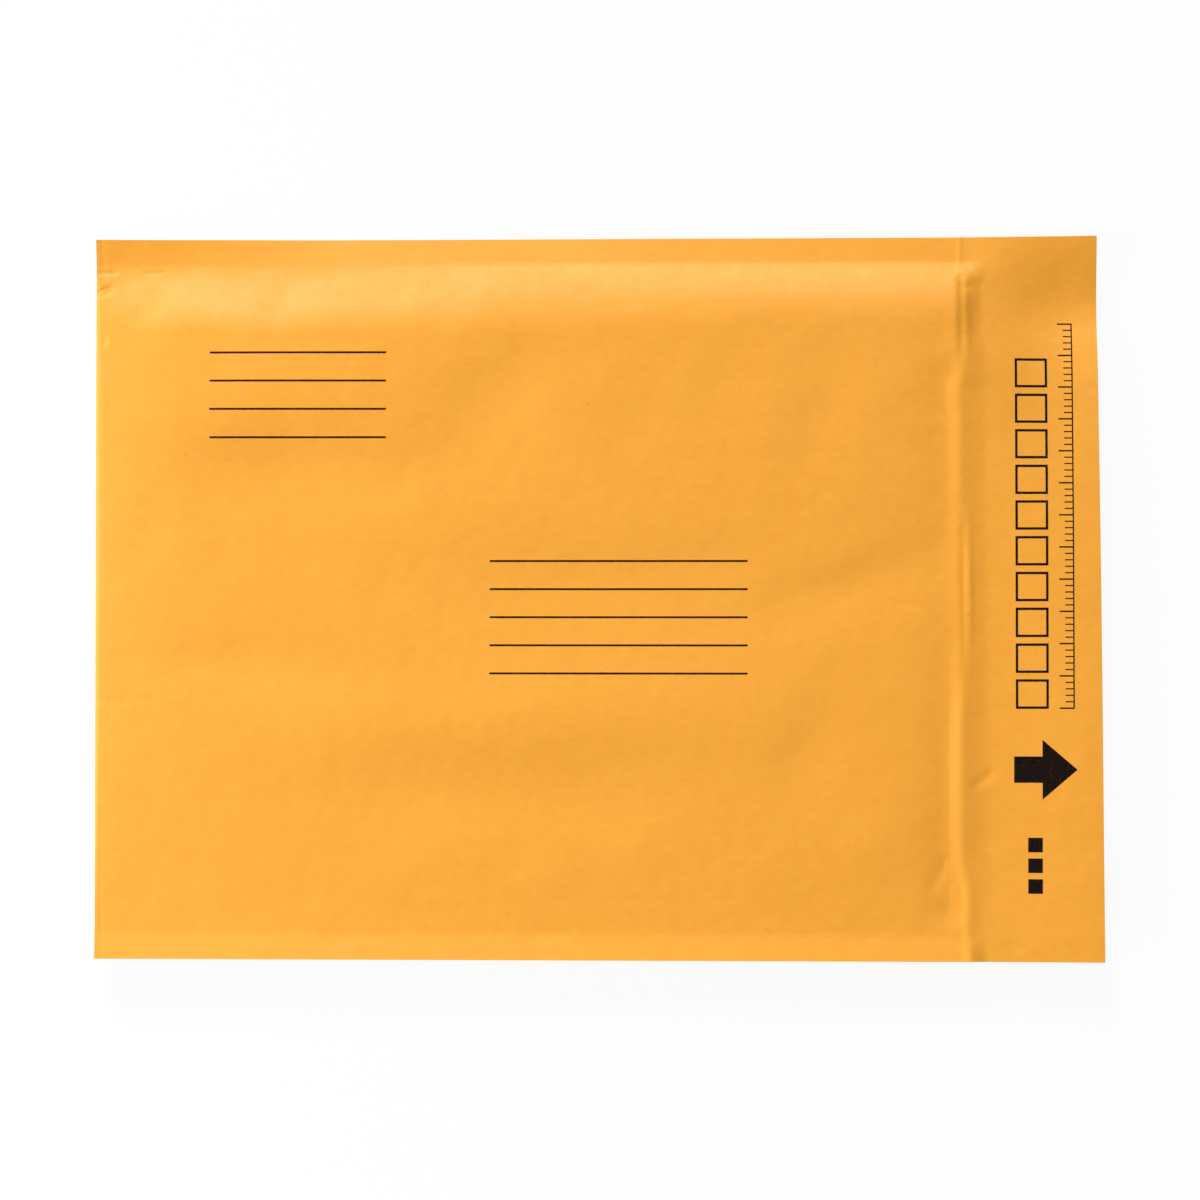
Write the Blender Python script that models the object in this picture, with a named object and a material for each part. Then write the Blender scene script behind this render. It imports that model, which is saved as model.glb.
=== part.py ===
"""Padded mailing envelope lying flat, address side up, with its flap open.

One kraft sheet is folded at one end and bonded to itself along both long sides. A folded
web of bubble film lines the pocket. The front wall runs on past the mouth as the flap,
whose underside carries a self-seal strip under a peel-off release liner.

X runs from the fold towards the flap, Y across the envelope and Z up. The origin is on
the table, under the middle of the whole envelope. In the functions, u is the distance
from the fold and v the distance from the middle line. All sizes are in metres.
"""

import math

import bmesh
import bpy

# Kraft sheet
POCKET_LENGTH = 0.2794
POCKET_WIDTH = 0.2159
SEAM_WIDTH = 0.0083
SEAM_THICKNESS = 0.0008
FLAP_LENGTH = 0.0440
PAPER_THICKNESS = 0.0002

# Bubble lining
PAD_THICKNESS = 0.0030
POCKET_GAP = 0.0058
LINING_SETBACK = 0.0090
LINING_HEM = 0.0080
HEM_FOLD_GAP = 0.0015
HEM_SIDE_GAP = 0.0025
CLEARANCE = 0.0003

# Self-seal strip and its liner
ADHESIVE_WIDTH = 0.0190
ADHESIVE_THICKNESS = 0.0002
LINER_WIDTH = 0.0285
LINER_THICKNESS = 0.0002
STRIP_EDGE_MARGIN = 0.0060
STRIP_END_MARGIN = 0.0040

# Puffed shape of the pocket: the near seam, at -Y, lies higher than the far one
NEAR_SEAM_LEVEL = 0.0106
FAR_SEAM_LEVEL = 0.0080
NEAR_STRIP_RISE = 0.0010
FAR_STRIP_FALL = 0.0014
NEAR_FRONT_REACH = 0.0500
NEAR_FRONT_POWER = 1.5
FAR_FRONT_REACH = 0.0190
BACK_REACH = 0.0240
POCKET_SHOULDER = 0.0140
SHOULDER_POWER = 2.2
FOLD_NOSE = 0.0020
FRONT_FOLD_RISE = 0.0300
BACK_FOLD_RISE = 0.0140
POCKET_END_RISE = 0.0120
NOSE_SHARE = 0.5

# Crease at the mouth and the open flap
RIDGE_RISE = 0.0003
RIDGE_WIDTH = 0.0022
VALLEY_DEPTH = 0.0006
VALLEY_SETBACK = 0.0060
VALLEY_WIDTH = 0.0035
FLAP_DROP_LENGTH = 0.0080
FLAP_MIDDLE_LEVEL = 0.0116
FLAP_ARCH_REACH = 0.0400
CORNER_DIP = 0.0026
CORNER_DIP_INSET = 0.0240
CORNER_DIP_WIDTH = 0.0160
EDGE_CURL = 0.0030
EDGE_CURL_REACH = 0.0220

# Puckers where the film gathers under the far seam: places are shares of the pocket length
PUCKER_PLACES = (0.08, 0.21, 0.345, 0.400, 0.455)
PUCKER_INSET = 0.0110
PUCKER_LENGTH = 0.0120
PUCKER_WIDTH = 0.0045
PUCKER_LEAN = 40.0
PUCKER_DEPTH = 0.0009

# Soft hollows of the front wall: share of the length, share of the half width, then
# length and width in metres, lean in degrees and depth in metres
HOLLOWS = (
    (0.42, 0.60, 0.026, 0.010, 45.0, 0.0007),
    (0.64, 0.55, 0.024, 0.010, 48.0, 0.0006),
    (0.86, 0.08, 0.030, 0.009, 20.0, 0.0006),
    (0.73, -0.70, 0.014, 0.009, 40.0, 0.0005),
    (0.15, -0.17, 0.034, 0.007, -14.0, 0.0006),
    (0.52, -0.46, 0.048, 0.012, -5.0, 0.0005),
)

# Surface points: their spacing on the flat middle, and shares of each curved stretch
PLATEAU_STEP_ALONG = 0.0125
PLATEAU_STEP_ACROSS = 0.0200
SMALLEST_STEP = 0.0006
NOSE_STEPS = (0.08, 0.28, 0.60, 1.0)
RISE_STEPS = (0.12, 0.30, 0.60, 1.0)
SHOULDER_STEPS = (0.06, 0.15, 0.29, 0.50, 0.75, 1.0)
DROP_STEPS = (0.10, 0.35, 0.65, 1.0)
SHARP_EDGE_ANGLE = 40.0

# Places that follow from the sizes above
SHEET_LENGTH = POCKET_LENGTH + FLAP_LENGTH
HALF_POCKET = POCKET_WIDTH / 2
HALF_SHEET = HALF_POCKET + SEAM_WIDTH
POCKET_FLOOR = PAPER_THICKNESS + CLEARANCE + PAD_THICKNESS
POCKET_CEILING = POCKET_FLOOR + POCKET_GAP
WRAPPER_INNER_TOP = POCKET_CEILING + PAD_THICKNESS + CLEARANCE
ENVELOPE_TOP = WRAPPER_INNER_TOP + PAPER_THICKNESS
LINING_START = PAPER_THICKNESS + CLEARANCE + HEM_FOLD_GAP
LINING_MOUTH = POCKET_LENGTH - LINING_SETBACK
HALF_LINING = HALF_POCKET - HEM_SIDE_GAP
POCKET_END = LINING_START + PAD_THICKNESS
HALF_POCKET_INSIDE = HALF_LINING - LINING_HEM
LINER_END = SHEET_LENGTH - STRIP_EDGE_MARGIN
LINER_START = LINER_END - LINER_WIDTH
ADHESIVE_START = LINER_START + (LINER_WIDTH - ADHESIVE_WIDTH) / 2
ADHESIVE_END = ADHESIVE_START + ADHESIVE_WIDTH
HALF_STRIP = HALF_SHEET - STRIP_END_MARGIN


def clamp(share):
    return min(max(share, 0.0), 1.0)


def mix(start, end, share):
    return start + (end - start) * share


def smooth_step(share):
    share = clamp(share)
    return share * share * (3.0 - 2.0 * share)


def side_rise(inset, reach, power=SHOULDER_POWER):
    """Share of the full height at a distance inside a bonded side."""
    return 1.0 - (1.0 - clamp(inset / reach)) ** power


def end_rise(inset, rise):
    """Share of the full height past a folded end: a blunt nose, then a gentle climb."""
    nose = math.sqrt(1.0 - (1.0 - clamp(inset / FOLD_NOSE)) ** 2)
    climb = 1.0 - (1.0 - clamp(inset / rise)) ** 2
    return NOSE_SHARE * nose + (1.0 - NOSE_SHARE) * climb


def front_side_rise(v):
    """The front wall climbs gently from the near seam and steeply from the far one."""
    inset = HALF_POCKET - abs(v)
    if v < 0.0:
        return side_rise(inset, NEAR_FRONT_REACH, NEAR_FRONT_POWER)
    return side_rise(inset, FAR_FRONT_REACH)


def front_share(u, v):
    return end_rise(u, FRONT_FOLD_RISE) * front_side_rise(v)


def back_share(u, v):
    return end_rise(u, BACK_FOLD_RISE) * side_rise(HALF_POCKET - abs(v), BACK_REACH)


def seam_level(v):
    """Middle of the bonded edge: both strips tilt, and the fold runs from one to the other."""
    level = mix(NEAR_SEAM_LEVEL, FAR_SEAM_LEVEL, clamp((v + HALF_POCKET) / POCKET_WIDTH))
    outward = clamp((abs(v) - HALF_POCKET) / SEAM_WIDTH)
    return level + outward * (NEAR_STRIP_RISE if v < 0.0 else -FAR_STRIP_FALL)


def seam_top(v):
    return seam_level(v) + SEAM_THICKNESS / 2


def bump(offset, width):
    return math.exp(-((offset / width) ** 2))


def hollow(u, v, centre_u, centre_v, length, width, lean, depth):
    """An oval hollow whose long axis leans from the X axis."""
    angle = math.radians(lean)
    along = (u - centre_u) * math.cos(angle) + (v - centre_v) * math.sin(angle)
    across = (v - centre_v) * math.cos(angle) - (u - centre_u) * math.sin(angle)
    return -depth * bump(along, length) * bump(across, width)


def crease_relief(u):
    """The ridge left where the flap was folded, and the dip in front of it."""
    ridge = RIDGE_RISE * bump(u - POCKET_LENGTH, RIDGE_WIDTH)
    dip = VALLEY_DEPTH * bump(u - POCKET_LENGTH + VALLEY_SETBACK, VALLEY_WIDTH)
    return ridge - dip


def front_relief(u, v):
    """Puckers, soft hollows and the crease, fading out towards the seams and the fold."""
    relief = crease_relief(u)
    for along in PUCKER_PLACES:
        relief += hollow(u, v, along * POCKET_LENGTH, HALF_POCKET - PUCKER_INSET,
                         PUCKER_LENGTH, PUCKER_WIDTH, PUCKER_LEAN, PUCKER_DEPTH)
    for along, across, length, width, lean, depth in HOLLOWS:
        relief += hollow(u, v, along * POCKET_LENGTH, across * HALF_POCKET,
                         length, width, lean, depth)
    return relief * front_share(u, v)


def flap_level(u, v):
    """Height of the flap's outer face: a short drop past the crease, then nearly level."""
    side = front_side_rise(v)
    arch = side if v < 0.0 else side_rise(HALF_POCKET - v, FLAP_ARCH_REACH)
    crest = mix(seam_top(v), ENVELOPE_TOP, side)
    settled = mix(seam_top(v), FLAP_MIDDLE_LEVEL, arch)
    past = u - POCKET_LENGTH
    dip = CORNER_DIP * bump(HALF_SHEET - CORNER_DIP_INSET - v, CORNER_DIP_WIDTH)
    curl = EDGE_CURL * smooth_step(1.0 - (HALF_SHEET - v) / EDGE_CURL_REACH)
    corner = (curl - dip) * past / FLAP_LENGTH
    return mix(crest, settled, smooth_step(past / FLAP_DROP_LENGTH)) + crease_relief(u) * side + corner


def place(u, v, level):
    return (u - SHEET_LENGTH / 2, v, level)


def front_outside(u, v):
    if u > POCKET_LENGTH:
        return place(u, v, flap_level(u, v))
    return place(u, v, mix(seam_top(v), ENVELOPE_TOP, front_share(u, v)) + front_relief(u, v))


def flap_underside(u, v):
    x, y, z = front_outside(u, v)
    return (x, y, z - PAPER_THICKNESS)


def back_outside(u, v):
    seam_bottom = seam_level(v) - SEAM_THICKNESS / 2
    return place(u, v, mix(seam_bottom, 0.0, back_share(u, v)))


def inside_along(u):
    """The sheet's inner face starts one paper thickness past the fold."""
    return mix(PAPER_THICKNESS, POCKET_LENGTH, u / POCKET_LENGTH)


def front_inside(u, v):
    level = mix(seam_level(v), WRAPPER_INNER_TOP, front_share(u, v)) + front_relief(u, v)
    return place(inside_along(u), v, level)


def back_inside(u, v):
    level = mix(seam_level(v), PAPER_THICKNESS, back_share(u, v))
    return place(inside_along(u), v, level)


def toward_edge(u, v):
    """A place moved by the clearance towards the fold and the nearer seam."""
    shift = CLEARANCE if v > 0.0 else -CLEARANCE
    return u - PAPER_THICKNESS - CLEARANCE, v + shift if v else v


def lining_front(u, v):
    share = front_share(*toward_edge(u, v))
    level = mix(seam_level(v), WRAPPER_INNER_TOP, share) + front_relief(u, v) - CLEARANCE
    return place(u, v, level)


def lining_back(u, v):
    share = back_share(*toward_edge(u, v))
    return place(u, v, mix(seam_level(v), PAPER_THICKNESS, share) + CLEARANCE)


def pocket_share(u, v):
    side = side_rise(HALF_POCKET_INSIDE - abs(v), POCKET_SHOULDER)
    return end_rise(u - POCKET_END, POCKET_END_RISE) * side


def pocket_rim_level(v):
    """The pocket closes between its own middle and the bonded edge."""
    return (seam_level(v) + (POCKET_FLOOR + POCKET_CEILING) / 2) / 2


def pocket_ceiling(u, v):
    return place(u, v, mix(pocket_rim_level(v), POCKET_CEILING, pocket_share(u, v)))


def pocket_floor(u, v):
    return place(u, v, mix(pocket_rim_level(v), POCKET_FLOOR, pocket_share(u, v)))


def steps(start, reach, shares):
    return [start + reach * share for share in shares]


def even_steps(start, end, step):
    count = max(1, round((end - start) / step))
    return [mix(start, end, k / count) for k in range(count + 1)]


def stations(fixed, wanted):
    """The fixed places, and each wanted one that isn't too close to a place already kept."""
    kept = list(fixed)
    for value in wanted:
        if all(abs(value - other) >= SMALLEST_STEP for other in kept):
            kept.append(value)
    return sorted(value for value in kept if min(fixed) <= value <= max(fixed))


def mirrored(distances):
    """Places on both sides of the middle line."""
    return sorted({-value for value in distances} | set(distances))


def wrapper_rows():
    fixed = [0.0, POCKET_LENGTH, LINER_START, ADHESIVE_START, ADHESIVE_END, LINER_END, SHEET_LENGTH]
    nose = steps(0.0, FOLD_NOSE, NOSE_STEPS)
    rise = steps(FOLD_NOSE, FRONT_FOLD_RISE - FOLD_NOSE, RISE_STEPS)
    dip = POCKET_LENGTH - VALLEY_SETBACK
    crease = [dip - 2 * VALLEY_WIDTH, dip - VALLEY_WIDTH, dip, dip + VALLEY_WIDTH]
    drop = steps(POCKET_LENGTH, FLAP_DROP_LENGTH, DROP_STEPS)
    plateau = even_steps(FRONT_FOLD_RISE, crease[0], PLATEAU_STEP_ALONG)
    return stations(fixed, nose + rise + crease + drop + plateau)


def wrapper_columns():
    shoulder = [HALF_POCKET - inset for inset in steps(0.0, BACK_REACH, SHOULDER_STEPS)]
    flat = even_steps(0.0, HALF_POCKET - BACK_REACH, PLATEAU_STEP_ACROSS)
    return mirrored([HALF_SHEET, HALF_STRIP, HALF_POCKET] + shoulder + flat)


def lining_rows():
    """Rows of the lining: its ends, its pocket's end, and the sheet's own rows between."""
    fixed = [LINING_START, POCKET_END, LINING_MOUTH]
    nose = steps(LINING_START, FOLD_NOSE, NOSE_STEPS)
    pocket_nose = steps(POCKET_END, FOLD_NOSE, NOSE_STEPS[1:])
    return stations(fixed, nose + pocket_nose + wrapper_rows())


def lining_columns():
    fixed = [0.0, HALF_POCKET_INSIDE, HALF_LINING]
    return mirrored(stations(fixed, [abs(v) for v in wrapper_columns()]))


def add_skin(mesh, rows, columns, surface):
    """Points of one face of the sheet, kept by their place."""
    return {(u, v): mesh.verts.new(surface(u, v)) for u in rows for v in columns}


def cover(mesh, skin, rows, columns):
    """Triangles over a skin, split the same way on every skin so that layers stay parallel."""
    for u0, u1 in zip(rows, rows[1:]):
        for v0, v1 in zip(columns, columns[1:]):
            outer, inner = (v0, v1) if v0 < 0 else (v1, v0)
            mesh.faces.new((skin[u0, outer], skin[u1, outer], skin[u1, inner]))
            mesh.faces.new((skin[u0, outer], skin[u1, inner], skin[u0, inner]))


def line(skin, rows, columns):
    return [skin[u, v] for u in rows for v in columns]


def bridge(mesh, first, second):
    """A band of faces between two lines of points."""
    for k in range(len(first) - 1):
        mesh.faces.new((first[k], first[k + 1], second[k + 1], second[k]))


def share_rim(mesh, ceiling, floor, rows, columns, surface):
    """Points where a pocket's ceiling and floor meet, at its closed end and both sides."""
    rim_places = {(rows[0], v) for v in columns}
    rim_places |= {(u, v) for u in rows for v in (columns[0], columns[-1])}
    for u, v in sorted(rim_places):
        ceiling[u, v] = floor[u, v] = mesh.verts.new(surface(u, v))


def make_material(name, colour, roughness, alpha=1.0):
    """A plain Principled material from a colour written as six hex digits."""
    channels = [int(colour[k:k + 2], 16) / 255 for k in (0, 2, 4)]
    linear = [c / 12.92 if c <= 0.04045 else ((c + 0.055) / 1.055) ** 2.4 for c in channels]
    material = bpy.data.materials.new(name)
    material.use_nodes = True
    shader = material.node_tree.nodes["Principled BSDF"]
    shader.inputs["Base Color"].default_value = (*linear, 1.0)
    shader.inputs["Roughness"].default_value = roughness
    shader.inputs["Metallic"].default_value = 0.0
    shader.inputs["Alpha"].default_value = alpha
    return material


def finish_piece(name, mesh, material):
    """Turns the faces outward and links the piece to the scene."""
    bmesh.ops.recalc_face_normals(mesh, faces=mesh.faces)
    data = bpy.data.meshes.new(name)
    mesh.to_mesh(data)
    mesh.free()
    data.shade_smooth()
    data.set_sharp_from_angle(angle=math.radians(SHARP_EDGE_ANGLE))
    data.materials.append(material)
    piece = bpy.data.objects.new(name, data)
    bpy.context.scene.collection.objects.link(piece)
    return piece


def build_kraft_wrapper():
    """The folded and bonded sheet, open at its mouth, with the flap as the front wall's end."""
    mesh = bmesh.new()
    rows = wrapper_rows()
    columns = wrapper_columns()
    body_rows = [u for u in rows if u <= POCKET_LENGTH]
    flap_rows = [u for u in rows if u >= POCKET_LENGTH]
    inner_columns = [v for v in columns if abs(v) <= HALF_POCKET]

    front = add_skin(mesh, rows, columns, front_outside)
    back = add_skin(mesh, body_rows, columns, back_outside)
    ceiling = add_skin(mesh, body_rows[1:], inner_columns[1:-1], front_inside)
    floor = add_skin(mesh, body_rows[1:], inner_columns[1:-1], back_inside)
    share_rim(mesh, ceiling, floor, body_rows, inner_columns, back_inside)
    under = add_skin(mesh, flap_rows[1:], columns, flap_underside)
    for v in columns:
        if v in inner_columns:
            under[POCKET_LENGTH, v] = ceiling[POCKET_LENGTH, v]
        else:
            under[POCKET_LENGTH, v] = mesh.verts.new(flap_underside(POCKET_LENGTH, v))

    cover(mesh, front, rows, columns)
    cover(mesh, back, body_rows, columns)
    cover(mesh, ceiling, body_rows, inner_columns)
    cover(mesh, floor, body_rows, inner_columns)
    cover(mesh, under, flap_rows, columns)

    bridge(mesh, line(front, rows[:1], columns), line(back, rows[:1], columns))
    bridge(mesh, line(front, rows[-1:], columns), line(under, rows[-1:], columns))
    lip = [floor[POCKET_LENGTH, v] if v in inner_columns else under[POCKET_LENGTH, v] for v in columns]
    bridge(mesh, line(back, body_rows[-1:], columns), lip)
    before_mouth = body_rows[-2]
    for v in (columns[0], columns[-1]):
        bridge(mesh, line(front, body_rows[:-1], [v]), line(back, body_rows[:-1], [v]))
        bridge(mesh, line(front, flap_rows, [v]), line(under, flap_rows, [v]))
        mesh.faces.new((front[before_mouth, v], front[POCKET_LENGTH, v], under[POCKET_LENGTH, v],
                        back[POCKET_LENGTH, v], back[before_mouth, v]))
    return finish_piece("kraft_wrapper", mesh, make_material("kraft_paper", "F2AA42", 0.62))


def build_bubble_lining():
    """The folded web of film, hemmed at both sides and open at its mouth."""
    mesh = bmesh.new()
    rows = lining_rows()
    columns = lining_columns()
    pocket_rows = [u for u in rows if u >= POCKET_END]
    pocket_columns = [v for v in columns if abs(v) <= HALF_POCKET_INSIDE]
    mouth = rows[-1:]

    front = add_skin(mesh, rows, columns, lining_front)
    back = add_skin(mesh, rows, columns, lining_back)
    ceiling = add_skin(mesh, pocket_rows[1:], pocket_columns[1:-1], pocket_ceiling)
    floor = add_skin(mesh, pocket_rows[1:], pocket_columns[1:-1], pocket_floor)
    share_rim(mesh, ceiling, floor, pocket_rows, pocket_columns, pocket_floor)

    cover(mesh, front, rows, columns)
    cover(mesh, back, rows, columns)
    cover(mesh, ceiling, pocket_rows, pocket_columns)
    cover(mesh, floor, pocket_rows, pocket_columns)

    bridge(mesh, line(front, rows[:1], columns), line(back, rows[:1], columns))
    bridge(mesh, line(front, mouth, pocket_columns), line(ceiling, mouth, pocket_columns))
    bridge(mesh, line(back, mouth, pocket_columns), line(floor, mouth, pocket_columns))
    for side in (-1, 1):
        hem_columns = sorted((v for v in columns if v * side >= HALF_POCKET_INSIDE), key=abs)
        inner, second = hem_columns[0], hem_columns[1]
        edge = hem_columns[-1]
        bridge(mesh, line(front, rows, [edge]), line(back, rows, [edge]))
        bridge(mesh, line(front, mouth, hem_columns[1:]), line(back, mouth, hem_columns[1:]))
        mesh.faces.new((front[LINING_MOUTH, second], front[LINING_MOUTH, inner],
                        floor[LINING_MOUTH, inner],
                        back[LINING_MOUTH, inner], back[LINING_MOUTH, second]))
    return finish_piece("bubble_lining", mesh, make_material("bubble_film", "E9ECEC", 0.25, 0.55))


def build_strip(name, start, end, depth, thickness, material):
    """A thin band across the flap, following its underside at a depth below it."""
    mesh = bmesh.new()
    rows = [u for u in wrapper_rows() if start <= u <= end]
    columns = [v for v in wrapper_columns() if abs(v) <= HALF_STRIP]

    def level_below(extra):
        def surface(u, v):
            x, y, z = flap_underside(u, v)
            return (x, y, z - depth - extra)
        return surface

    top = add_skin(mesh, rows, columns, level_below(0.0))
    bottom = add_skin(mesh, rows, columns, level_below(thickness))
    cover(mesh, top, rows, columns)
    cover(mesh, bottom, rows, columns)
    for u in (rows[0], rows[-1]):
        bridge(mesh, line(top, [u], columns), line(bottom, [u], columns))
    for v in (columns[0], columns[-1]):
        bridge(mesh, line(top, rows, [v]), line(bottom, rows, [v]))
    return finish_piece(name, mesh, material)


def build_adhesive_strip():
    material = make_material("hot_melt_adhesive", "E6DFC0", 0.30)
    build_strip("adhesive_strip", ADHESIVE_START, ADHESIVE_END, CLEARANCE, ADHESIVE_THICKNESS, material)


def build_release_liner():
    depth = ADHESIVE_THICKNESS + 2 * CLEARANCE
    material = make_material("siliconised_paper", "F4F3EE", 0.40)
    build_strip("release_liner", LINER_START, LINER_END, depth, LINER_THICKNESS, material)


def build_envelope():
    for item in list(bpy.data.objects):
        bpy.data.objects.remove(item, do_unlink=True)
    build_kraft_wrapper()
    build_bubble_lining()
    build_adhesive_strip()
    build_release_liner()


build_envelope()
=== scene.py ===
"""Padded mailing envelope lying flat with its flap open, seen from straight above.

The sizes and shapes are in millimetres. u runs from the fold towards the flap and v
across the envelope, as x + half the sheet's length and y do in the frame.
"""

import math

import bmesh
import bpy
import numpy as np
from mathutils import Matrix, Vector


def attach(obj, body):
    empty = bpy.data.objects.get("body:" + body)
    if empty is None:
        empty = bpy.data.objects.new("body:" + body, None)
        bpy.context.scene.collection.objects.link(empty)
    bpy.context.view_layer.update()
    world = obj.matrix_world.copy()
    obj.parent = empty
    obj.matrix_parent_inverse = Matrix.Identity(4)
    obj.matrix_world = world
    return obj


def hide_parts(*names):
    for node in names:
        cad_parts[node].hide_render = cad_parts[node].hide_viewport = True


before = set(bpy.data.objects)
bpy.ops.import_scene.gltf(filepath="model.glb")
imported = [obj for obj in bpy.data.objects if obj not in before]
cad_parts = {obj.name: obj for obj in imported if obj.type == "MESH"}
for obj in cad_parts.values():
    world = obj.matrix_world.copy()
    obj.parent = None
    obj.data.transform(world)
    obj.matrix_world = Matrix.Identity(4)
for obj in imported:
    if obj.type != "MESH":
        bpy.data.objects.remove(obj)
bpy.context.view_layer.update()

MM = 0.001

# Kraft sheet
POCKET_LENGTH = 279.4
POCKET_WIDTH = 215.9
SEAM_WIDTH = 8.3
SEAM_THICKNESS = 0.8
FLAP_LENGTH = 44.0
PAPER = 0.2
# The sheet is folded and cut a little off square: its ends shift this share of v along u
OFF_SQUARE = 0.007

# Bubble lining
PAD = 3.0
POCKET_GAP = 5.0
LINING_SETBACK = 9.0
HEM_SIDE_GAP = 2.5
HEM_FOLD_GAP = 1.5
CLEARANCE = 0.3
FILM = 0.25
FILM_INSET = 0.9
INNER_MARGIN = 0.9
BUBBLE_PITCH = 11.0
BUBBLE_DIAMETER = 9.6
BUBBLE_HEIGHT = 2.3
BUBBLE_EDGE_MARGIN = 15.0
BUBBLE_FOLD_MARGIN = 14.0

# Self-seal strip and its liner
ADHESIVE_WIDTH = 19.0
ADHESIVE_THICKNESS = 0.2
LINER_WIDTH = 28.5
LINER_THICKNESS = 0.2
STRIP_EDGE_MARGIN = 6.0
STRIP_END_MARGIN = 4.0

# Puffed shape
NEAR_SEAM_LEVEL = 11.0
FAR_SEAM_LEVEL = 6.1
NEAR_STRIP_RISE = 1.3
FAR_STRIP_FALL = 1.4
NEAR_FRONT_REACH = 50.0
NEAR_FRONT_POWER = 1.5
BACK_REACH = 24.0
SHOULDER_POWER = 2.2
FOLD_NOSE = 2.0
FRONT_FOLD_RISE = 30.0
BACK_FOLD_RISE = 14.0
NOSE_SHARE = 0.5

# Crease and flap
RIDGE_RISE = 0.18
RIDGE_WIDTH = 1.6
RIDGE_TAIL = 1.5
VALLEY_DEPTH = 0.50
VALLEY_SETBACK = 4.4
VALLEY_WIDTH = 2.5
VALLEY_APPROACH = 7.0
FLAP_DROP_LENGTH = 9.0
FLAP_MIDDLE_LEVEL = 11.2
FLAP_RISE = 2.1
FLAP_RISE_END = 95.0
FLAP_RISE_REACH = 30.0
FLAP_ARCH_REACH = 46.0
CORNER_DIP = 4.6
CORNER_DIP_INSET = 24.0
CORNER_DIP_WIDTH = 20.0
CORNER_DIP_LENGTH = 36.0
EDGE_CURL = 4.0
EDGE_CURL_REACH = 30.0

# Places that follow
SHEET_LENGTH = POCKET_LENGTH + FLAP_LENGTH
HALF_POCKET = POCKET_WIDTH / 2
HALF_SHEET = HALF_POCKET + SEAM_WIDTH
POCKET_FLOOR = PAPER + CLEARANCE + PAD
POCKET_CEILING = POCKET_FLOOR + POCKET_GAP
INNER_TOP = POCKET_CEILING + PAD + CLEARANCE
TOP = INNER_TOP + PAPER
LINING_START = PAPER + CLEARANCE + HEM_FOLD_GAP
LINING_MOUTH = POCKET_LENGTH - LINING_SETBACK
HALF_LINING = HALF_POCKET - HEM_SIDE_GAP
LINER_END = SHEET_LENGTH - STRIP_EDGE_MARGIN
LINER_START = LINER_END - LINER_WIDTH
ADHESIVE_START = LINER_START + (LINER_WIDTH - ADHESIVE_WIDTH) / 2
HALF_STRIP = HALF_SHEET - STRIP_END_MARGIN

# Where the crease wanders from its line, how sharp its ridge is, and where it is a narrow
# groove with a second ridge behind it instead, from the near side (-v) on
CREASE_PLACES = (-116, -92, -84, -52, -32, 32, 48, 58, 66, 72, 78, 84, 100, 104, 116)
CREASE_WANDER = (0.9, 0.9, -1.0, -1.2, -0.6, -0.7, -0.7, -0.5, -1.2, 0.2, -0.5, -2.0, -2.0, 0.2, 0.4)
SHARPNESS_PLACES = (-116, -96, -80, -39, -25, -12, 13, 25, 39, 60, 71, 78, 88, 101, 104, 116)
SHARPNESS = (1.7, 1.6, 1.35, 1.35, 0.9, 0.35, 0.3, 0.6, 0.8, 1.1, 1.0, 0.2, 0.1, 0.1, 0.6, 0.7)
GROOVE_PLACES = (-30, -18, -6, 6, 19, 30, 74, 82, 101, 104)
GROOVE_SHARE = (0.0, 0.35, 0.7, 1.0, 0.6, 0.0, 0.0, 0.8, 1.0, 0.0)
GROOVE_DEPTH = 0.24

# Along the far seam, from the fold to the flap: tilt of the strip (1 is the full fall
# outwards), how far the front wall takes to climb from the seam, and how low the seam sags
FAR_PLACES = (0, 10, 33, 53, 75, 110, 150, 180, 243, 279, 323)
FAR_TILT = (-0.9, -0.8, -0.2, 0.4, 1.0, 1.0, 1.0, 0.8, 0.6, 0.3, 0.0)
FAR_REACH = (20, 22, 22, 23, 22, 23, 23, 22, 20, 19, 19)
FAR_SAG = (0.0, 0.5, 0.9, 0.8, 0.9, 0.8, 0.3, 0.1, 0.0, 0.0, 0.0)
FAR_ROUNDNESS = (1.0, 0.9, 0.8, 0.8, 0.8, 0.45, 0.15, 0.05, 0.1, 0.0, 0.0)

# Dents where the film gathers the paper at the far seam: u, v, length, width, lean, depth
PUCKERS = (
    (20.5, 97.5, 13.0, 5.0, 52, 0.70),
    (9.0, 103.8, 6.0, 3.0, 30, 0.50),
    (61.5, 98.0, 9.5, 4.5, 62, 0.55),
    (98.0, 100.5, 6.5, 4.0, 60, 0.36),
    (110.0, 101.0, 5.5, 3.2, 62, 0.25),
    (121.5, 101.0, 5.5, 3.2, 64, 0.22),
    (139.0, 101.5, 5.0, 4.0, 62, 0.15),
)

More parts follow.
